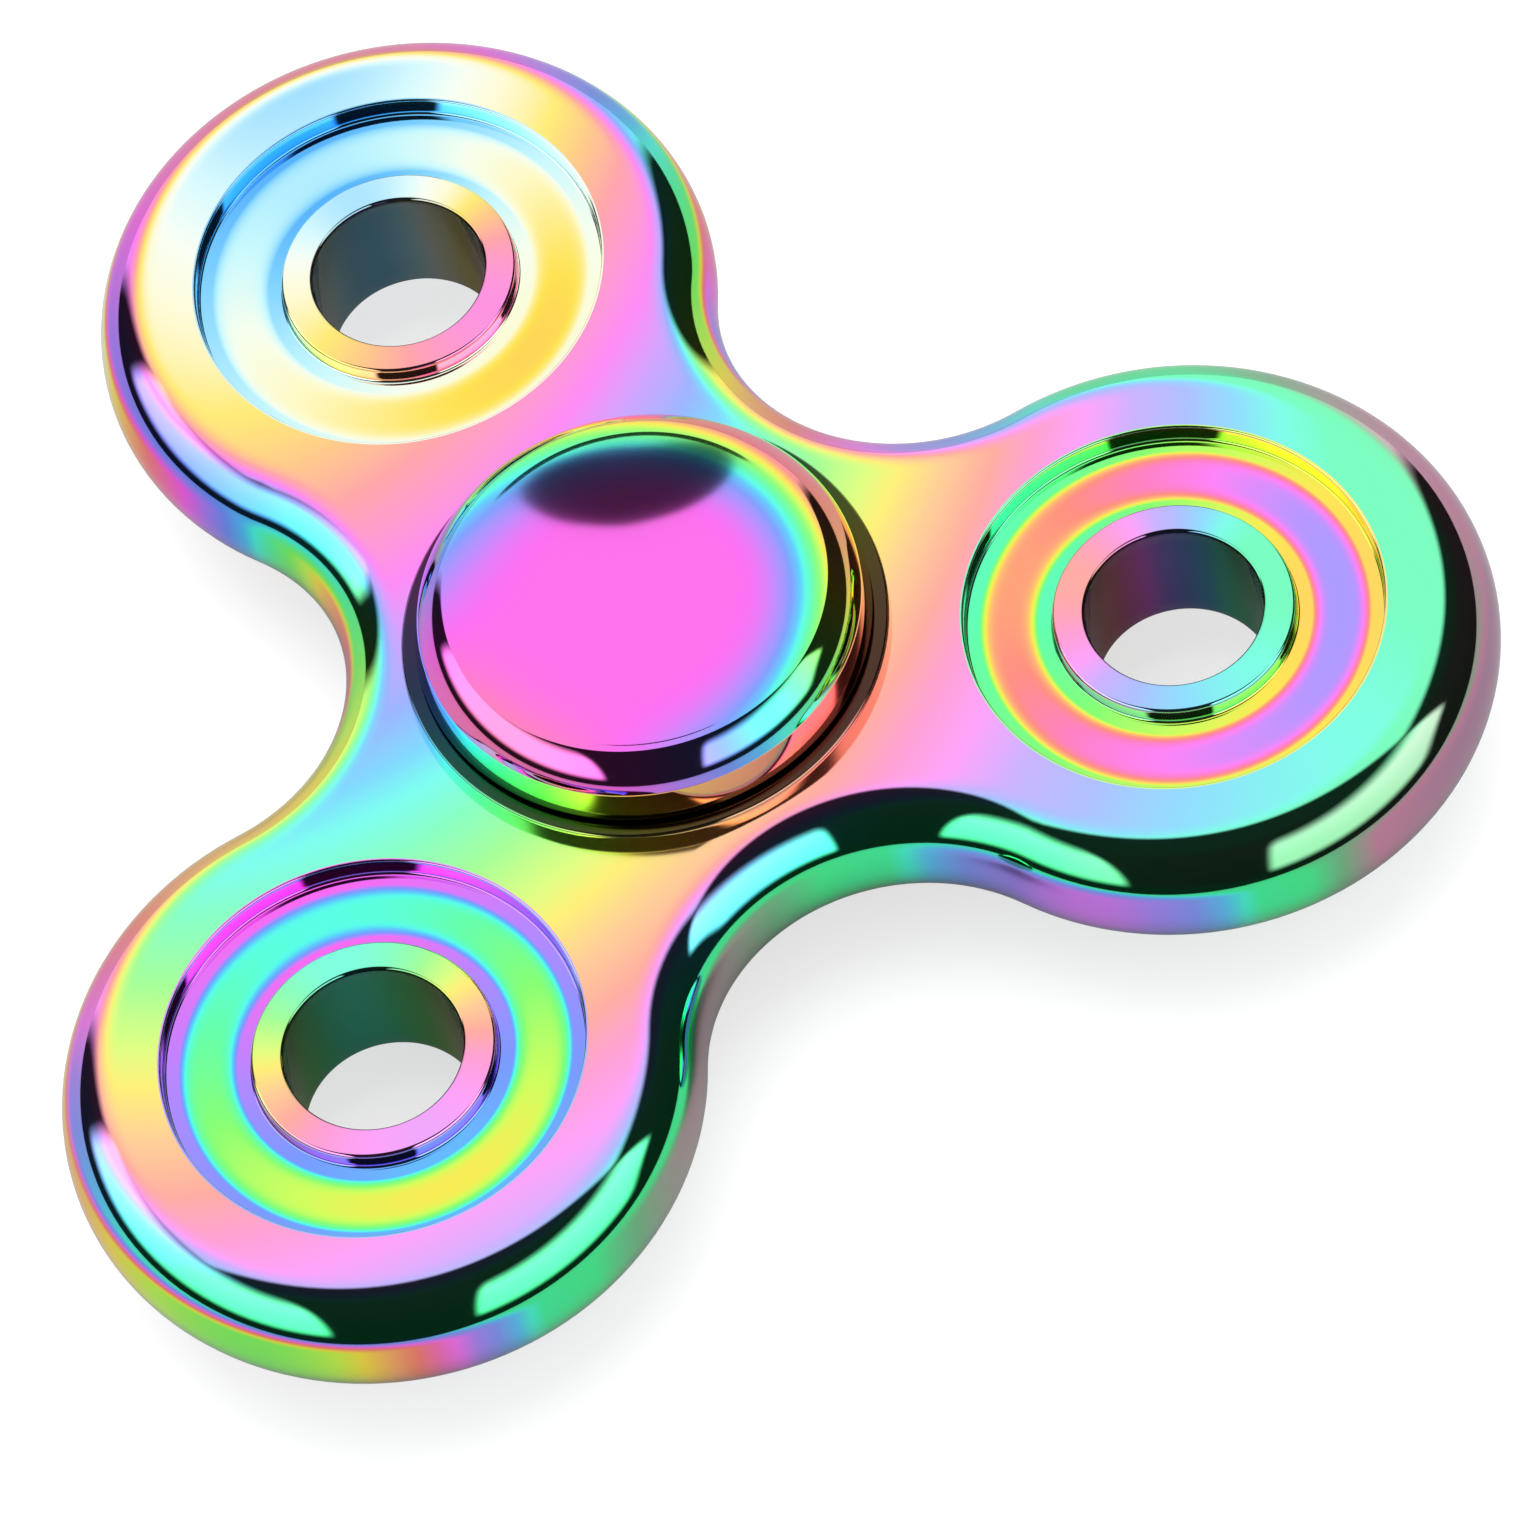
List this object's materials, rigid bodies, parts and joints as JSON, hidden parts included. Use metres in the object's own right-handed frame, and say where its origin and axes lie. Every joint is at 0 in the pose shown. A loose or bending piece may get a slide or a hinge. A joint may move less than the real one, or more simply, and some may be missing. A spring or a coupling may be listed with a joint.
{
  "type": "fidget spinner",
  "caption": "Hand spinner: a three-lobed mirror-finish metal body turning on a ball bearing between two dished finger caps.",
  "frame": {"origin": "middle of the body on the spin axis, halfway between its two faces", "axes": "+Z along the spin axis towards the upper finger cap; +Y along one of the three arms; +X completes the right-handed frame"},
  "size_m": [0.0766, 0.0706, 0.017],
  "materials": {
    "body_rainbow": "mirror-polished zinc alloy with an iridescent vacuum coating",
    "cap_rainbow": "mirror-polished metal with an iridescent vacuum coating",
    "bearing_steel": "ground and honed bearing steel",
    "ball_steel": "lapped bearing steel",
    "cage_steel": "pressed sheet steel",
    "shield_steel": "pressed sheet steel",
    "spring_steel": "dark spring steel wire",
    "black_screw": "black oxide alloy steel"
  },
  "bodies": {
    "hub": {"cap_upper": "cap_rainbow", "cap_lower": "cap_rainbow", "cap_stud": "black_screw", "bearing_inner_ring": "bearing_steel"},
    "rotor": {"body": "body_rainbow", "bearing_outer_ring": "bearing_steel", "shield_upper": "shield_steel", "shield_lower": "shield_steel", "snap_ring_upper": "spring_steel", "snap_ring_lower": "spring_steel"},
    "cage": {"cage_upper": "cage_steel", "cage_lower": "cage_steel", "cage_rivets": "cage_steel"},
    "ball_1_body": {"ball_1": "ball_steel"},
    "ball_2_body": {"ball_2": "ball_steel"},
    "ball_3_body": {"ball_3": "ball_steel"},
    "ball_4_body": {"ball_4": "ball_steel"},
    "ball_5_body": {"ball_5": "ball_steel"},
    "ball_6_body": {"ball_6": "ball_steel"},
    "ball_7_body": {"ball_7": "ball_steel"}
  },
  "joints": [
    {"name": "rotor_spin", "type": "hinge", "parent": "hub", "child": "rotor", "pos_m": [0, 0, 0], "axis": [0, 0, 1], "continuous": true},
    {"name": "cage_spin", "type": "hinge", "parent": "hub", "child": "cage", "pos_m": [0, 0, 0], "axis": [0, 0, 1], "continuous": true},
    {"name": "ball_1_roll", "type": "hinge", "parent": "cage", "child": "ball_1_body", "pos_m": [0.0075, 0, 0], "axis": [0, 0, 1], "continuous": true},
    {"name": "ball_2_roll", "type": "hinge", "parent": "cage", "child": "ball_2_body", "pos_m": [0.00468, 0.00586, 0], "axis": [0, 0, 1], "continuous": true},
    {"name": "ball_3_roll", "type": "hinge", "parent": "cage", "child": "ball_3_body", "pos_m": [-0.00167, 0.00731, 0], "axis": [0, 0, 1], "continuous": true},
    {"name": "ball_4_roll", "type": "hinge", "parent": "cage", "child": "ball_4_body", "pos_m": [-0.00676, 0.00325, 0], "axis": [0, 0, 1], "continuous": true},
    {"name": "ball_5_roll", "type": "hinge", "parent": "cage", "child": "ball_5_body", "pos_m": [-0.00676, -0.00325, 0], "axis": [0, 0, 1], "continuous": true},
    {"name": "ball_6_roll", "type": "hinge", "parent": "cage", "child": "ball_6_body", "pos_m": [-0.00167, -0.00731, 0], "axis": [0, 0, 1], "continuous": true},
    {"name": "ball_7_roll", "type": "hinge", "parent": "cage", "child": "ball_7_body", "pos_m": [0.00468, -0.00586, 0], "axis": [0, 0, 1], "continuous": true}
  ],
  "couplings": [
    {"joint": "cage_spin", "follows": "rotor_spin", "ratio": 0.6323},
    {"joint": "ball_1_roll", "follows": "rotor_spin", "ratio": 1.7573},
    {"joint": "ball_2_roll", "follows": "rotor_spin", "ratio": 1.7573},
    {"joint": "ball_3_roll", "follows": "rotor_spin", "ratio": 1.7573},
    {"joint": "ball_4_roll", "follows": "rotor_spin", "ratio": 1.7573},
    {"joint": "ball_5_roll", "follows": "rotor_spin", "ratio": 1.7573},
    {"joint": "ball_6_roll", "follows": "rotor_spin", "ratio": 1.7573},
    {"joint": "ball_7_roll", "follows": "rotor_spin", "ratio": 1.7573}
  ]
}
